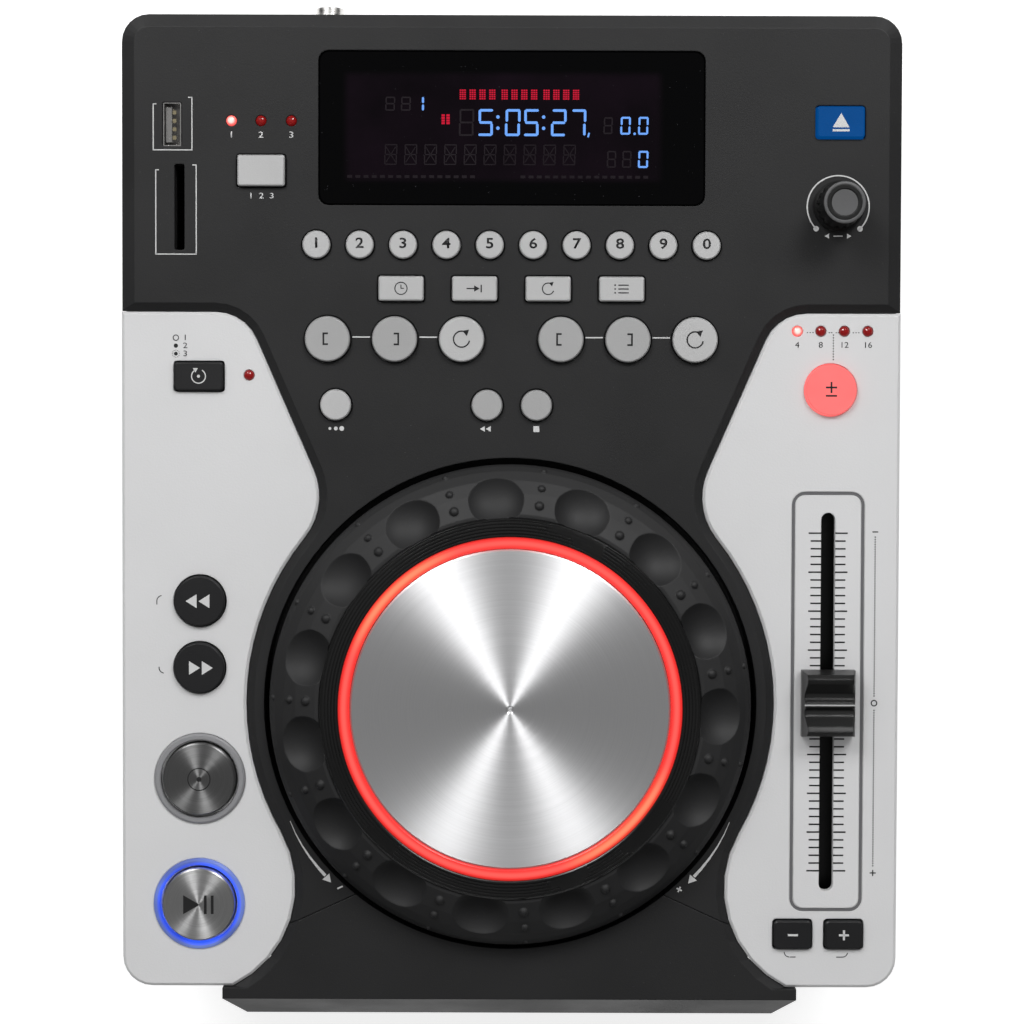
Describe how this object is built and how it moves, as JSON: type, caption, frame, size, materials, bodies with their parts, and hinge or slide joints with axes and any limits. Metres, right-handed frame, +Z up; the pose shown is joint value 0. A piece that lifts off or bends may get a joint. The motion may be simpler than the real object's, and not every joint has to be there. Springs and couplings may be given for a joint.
{
  "type": "tabletop disc player",
  "caption": "Wedge-shaped tabletop disc player with a large dimpled jog wheel, pitch fader, select knob, display window, round and oblong keys and a front disc tray.",
  "frame": {"origin": "on the ground under the middle of the outline", "axes": "+Z up, front towards -Y, +X to the right seen from the front"},
  "size_m": [0.2246, 0.299, 0.1108],
  "materials": {
    "black_plastic": "fine grain, satin",
    "black_steel": "satin black powder coat",
    "blue_key": "lit translucent",
    "board_green": "solder mask",
    "bright_metal": "bright plated",
    "dark_key": "satin",
    "dark_plastic": "satin",
    "gloss_black": "gloss",
    "grey_key": "satin",
    "lit_red": "lit translucent red",
    "loader_steel": "plated sheet",
    "mid_grey_key": "satin",
    "red_lamp": "clear red resin",
    "ring_grey": "satin clear grey",
    "rubber": "matte",
    "rubber_black": "soft satin rubber",
    "salmon_key": "lit translucent",
    "screw_steel": "zinc plated",
    "silver_plastic": "silver lacquer with fine grain",
    "smoked_window": "gloss, smoked",
    "spun_dark": "spun gunmetal face",
    "spun_steel": "fine circular spin lines"
  },
  "bodies": {
    "housing": {"bottom_case": "black_steel", "rubber_feet": "rubber", "case_screws": "screw_steel", "top_deck": "black_plastic", "left_cheek": "silver_plastic", "right_cheek": "silver_plastic", "front_fascia": "black_plastic", "display_window": "smoked_window", "circuit_boards": "board_green", "indicator_lamps": "red_lamp", "usb_socket": "bright_metal", "card_socket": "dark_plastic", "rear_sockets": "bright_metal", "button_rings": "ring_grey", "jog_spindle": "bright_metal", "fader_track": "bright_metal", "loader_frame": "loader_steel"},
    "jog": {"jog_wheel": "rubber_black", "jog_bezel": "gloss_black", "jog_light_ring": "lit_red", "jog_plate": "spun_steel"},
    "select_knob": {"select_knob": "dark_plastic"},
    "fader": {"fader_cap": "gloss_black"},
    "tray": {"disc_tray": "dark_plastic"},
    "turntable": {"disc_turntable": "loader_steel"},
    "sled": {"laser_sled": "loader_steel"},
    "power_switch": {"power_switch": "dark_plastic"},
    "source_key": {"source_key": "grey_key"},
    "number_key_1": {"number_key_1": "grey_key"},
    "number_key_2": {"number_key_2": "grey_key"},
    "number_key_3": {"number_key_3": "grey_key"},
    "number_key_4": {"number_key_4": "grey_key"},
    "number_key_5": {"number_key_5": "grey_key"},
    "number_key_6": {"number_key_6": "grey_key"},
    "number_key_7": {"number_key_7": "grey_key"},
    "number_key_8": {"number_key_8": "grey_key"},
    "number_key_9": {"number_key_9": "grey_key"},
    "number_key_0": {"number_key_0": "grey_key"},
    "time_key": {"time_key": "grey_key"},
    "single_key": {"single_key": "grey_key"},
    "repeat_key": {"repeat_key": "grey_key"},
    "program_key": {"program_key": "grey_key"},
    "loop_a_in_key": {"loop_a_in_key": "mid_grey_key"},
    "loop_a_out_key": {"loop_a_out_key": "mid_grey_key"},
    "loop_a_again_key": {"loop_a_again_key": "mid_grey_key"},
    "loop_b_in_key": {"loop_b_in_key": "mid_grey_key"},
    "loop_b_out_key": {"loop_b_out_key": "mid_grey_key"},
    "loop_b_again_key": {"loop_b_again_key": "mid_grey_key"},
    "tap_key": {"tap_key": "grey_key"},
    "reverse_key": {"reverse_key": "grey_key"},
    "brake_key": {"brake_key": "grey_key"},
    "jog_mode_key": {"jog_mode_key": "dark_key"},
    "pitch_range_key": {"pitch_range_key": "salmon_key"},
    "search_back_key": {"search_back_key": "dark_key"},
    "search_forward_key": {"search_forward_key": "dark_key"},
    "cue_key": {"cue_key": "spun_dark"},
    "play_key": {"play_key": "spun_dark"},
    "pitch_minus_key": {"pitch_minus_key": "dark_key"},
    "pitch_plus_key": {"pitch_plus_key": "dark_key"},
    "eject_key": {"eject_key": "blue_key"}
  },
  "joints": [
    {"name": "jog_turn", "type": "hinge", "parent": "housing", "child": "jog", "pos_m": [0, -0.05658, 0.09309], "axis": [0, -0.0523, 0.9986], "continuous": true},
    {"name": "tray_slide", "type": "slide", "parent": "housing", "child": "tray", "axis": [0, -1, 0], "range_m": [0, 0.13]},
    {"name": "fader_slide", "type": "slide", "parent": "housing", "child": "fader", "axis": [0, 0.9986, 0.0523], "range_m": [-0.05, 0.05]},
    {"name": "power_rocker", "type": "hinge", "parent": "housing", "child": "power_switch", "pos_m": [0.045, 0.13654, 0.038], "axis": [1, 0, 0], "range_deg": [-16, 0]},
    {"name": "knob_turn", "type": "hinge", "parent": "housing", "child": "select_knob", "pos_m": [0.0937, 0.08663, 0.10059], "axis": [0, -0.0523, 0.9986], "continuous": true},
    {"name": "turntable_spin", "type": "hinge", "parent": "housing", "child": "turntable", "pos_m": [0, -0.07289, 0.035], "axis": [0, 0, 1], "continuous": true},
    {"name": "sled_slide", "type": "slide", "parent": "housing", "child": "sled", "axis": [0, 1, 0], "range_m": [0, 0.034]},
    {"name": "source_key_press", "type": "slide", "parent": "housing", "child": "source_key", "axis": [0, -0.0523, 0.9986], "range_m": [-0.0012, 0], "stiffness_N_per_m": 300},
    {"name": "number_key_1_press", "type": "slide", "parent": "housing", "child": "number_key_1", "axis": [0, -0.0523, 0.9986], "range_m": [-0.0012, 0], "stiffness_N_per_m": 300},
    {"name": "number_key_2_press", "type": "slide", "parent": "housing", "child": "number_key_2", "axis": [0, -0.0523, 0.9986], "range_m": [-0.0012, 0], "stiffness_N_per_m": 300},
    {"name": "number_key_3_press", "type": "slide", "parent": "housing", "child": "number_key_3", "axis": [0, -0.0523, 0.9986], "range_m": [-0.0012, 0], "stiffness_N_per_m": 300},
    {"name": "number_key_4_press", "type": "slide", "parent": "housing", "child": "number_key_4", "axis": [0, -0.0523, 0.9986], "range_m": [-0.0012, 0], "stiffness_N_per_m": 300},
    {"name": "number_key_5_press", "type": "slide", "parent": "housing", "child": "number_key_5", "axis": [0, -0.0523, 0.9986], "range_m": [-0.0012, 0], "stiffness_N_per_m": 300},
    {"name": "number_key_6_press", "type": "slide", "parent": "housing", "child": "number_key_6", "axis": [0, -0.0523, 0.9986], "range_m": [-0.0012, 0], "stiffness_N_per_m": 300},
    {"name": "number_key_7_press", "type": "slide", "parent": "housing", "child": "number_key_7", "axis": [0, -0.0523, 0.9986], "range_m": [-0.0012, 0], "stiffness_N_per_m": 300},
    {"name": "number_key_8_press", "type": "slide", "parent": "housing", "child": "number_key_8", "axis": [0, -0.0523, 0.9986], "range_m": [-0.0012, 0], "stiffness_N_per_m": 300},
    {"name": "number_key_9_press", "type": "slide", "parent": "housing", "child": "number_key_9", "axis": [0, -0.0523, 0.9986], "range_m": [-0.0012, 0], "stiffness_N_per_m": 300},
    {"name": "number_key_0_press", "type": "slide", "parent": "housing", "child": "number_key_0", "axis": [0, -0.0523, 0.9986], "range_m": [-0.0012, 0], "stiffness_N_per_m": 300},
    {"name": "time_key_press", "type": "slide", "parent": "housing", "child": "time_key", "axis": [0, -0.0523, 0.9986], "range_m": [-0.0012, 0], "stiffness_N_per_m": 300},
    {"name": "single_key_press", "type": "slide", "parent": "housing", "child": "single_key", "axis": [0, -0.0523, 0.9986], "range_m": [-0.0012, 0], "stiffness_N_per_m": 300},
    {"name": "repeat_key_press", "type": "slide", "parent": "housing", "child": "repeat_key", "axis": [0, -0.0523, 0.9986], "range_m": [-0.0012, 0], "stiffness_N_per_m": 300},
    {"name": "program_key_press", "type": "slide", "parent": "housing", "child": "program_key", "axis": [0, -0.0523, 0.9986], "range_m": [-0.0012, 0], "stiffness_N_per_m": 300},
    {"name": "loop_a_in_key_press", "type": "slide", "parent": "housing", "child": "loop_a_in_key", "axis": [0, -0.0523, 0.9986], "range_m": [-0.0012, 0], "stiffness_N_per_m": 300},
    {"name": "loop_a_out_key_press", "type": "slide", "parent": "housing", "child": "loop_a_out_key", "axis": [0, -0.0523, 0.9986], "range_m": [-0.0012, 0], "stiffness_N_per_m": 300},
    {"name": "loop_a_again_key_press", "type": "slide", "parent": "housing", "child": "loop_a_again_key", "axis": [0, -0.0523, 0.9986], "range_m": [-0.0012, 0], "stiffness_N_per_m": 300},
    {"name": "loop_b_in_key_press", "type": "slide", "parent": "housing", "child": "loop_b_in_key", "axis": [0, -0.0523, 0.9986], "range_m": [-0.0012, 0], "stiffness_N_per_m": 300},
    {"name": "loop_b_out_key_press", "type": "slide", "parent": "housing", "child": "loop_b_out_key", "axis": [0, -0.0523, 0.9986], "range_m": [-0.0012, 0], "stiffness_N_per_m": 300},
    {"name": "loop_b_again_key_press", "type": "slide", "parent": "housing", "child": "loop_b_again_key", "axis": [0, -0.0523, 0.9986], "range_m": [-0.0012, 0], "stiffness_N_per_m": 300},
    {"name": "tap_key_press", "type": "slide", "parent": "housing", "child": "tap_key", "axis": [0, -0.0523, 0.9986], "range_m": [-0.0012, 0], "stiffness_N_per_m": 300},
    {"name": "reverse_key_press", "type": "slide", "parent": "housing", "child": "reverse_key", "axis": [0, -0.0523, 0.9986], "range_m": [-0.0012, 0], "stiffness_N_per_m": 300},
    {"name": "brake_key_press", "type": "slide", "parent": "housing", "child": "brake_key", "axis": [0, -0.0523, 0.9986], "range_m": [-0.0012, 0], "stiffness_N_per_m": 300},
    {"name": "jog_mode_key_press", "type": "slide", "parent": "housing", "child": "jog_mode_key", "axis": [0, -0.0523, 0.9986], "range_m": [-0.0012, 0], "stiffness_N_per_m": 300},
    {"name": "pitch_range_key_press", "type": "slide", "parent": "housing", "child": "pitch_range_key", "axis": [0, -0.0523, 0.9986], "range_m": [-0.0012, 0], "stiffness_N_per_m": 300},
    {"name": "search_back_key_press", "type": "slide", "parent": "housing", "child": "search_back_key", "axis": [0, -0.0523, 0.9986], "range_m": [-0.0012, 0], "stiffness_N_per_m": 300},
    {"name": "search_forward_key_press", "type": "slide", "parent": "housing", "child": "search_forward_key", "axis": [0, -0.0523, 0.9986], "range_m": [-0.0012, 0], "stiffness_N_per_m": 300},
    {"name": "cue_key_press", "type": "slide", "parent": "housing", "child": "cue_key", "axis": [0, -0.0523, 0.9986], "range_m": [-0.0012, 0], "stiffness_N_per_m": 300},
    {"name": "play_key_press", "type": "slide", "parent": "housing", "child": "play_key", "axis": [0, -0.0523, 0.9986], "range_m": [-0.0012, 0], "stiffness_N_per_m": 300},
    {"name": "pitch_minus_key_press", "type": "slide", "parent": "housing", "child": "pitch_minus_key", "axis": [0, -0.0523, 0.9986], "range_m": [-0.0012, 0], "stiffness_N_per_m": 300},
    {"name": "pitch_plus_key_press", "type": "slide", "parent": "housing", "child": "pitch_plus_key", "axis": [0, -0.0523, 0.9986], "range_m": [-0.0012, 0], "stiffness_N_per_m": 300},
    {"name": "eject_key_press", "type": "slide", "parent": "housing", "child": "eject_key", "axis": [0, -0.0523, 0.9986], "range_m": [-0.0012, 0], "stiffness_N_per_m": 300}
  ]
}
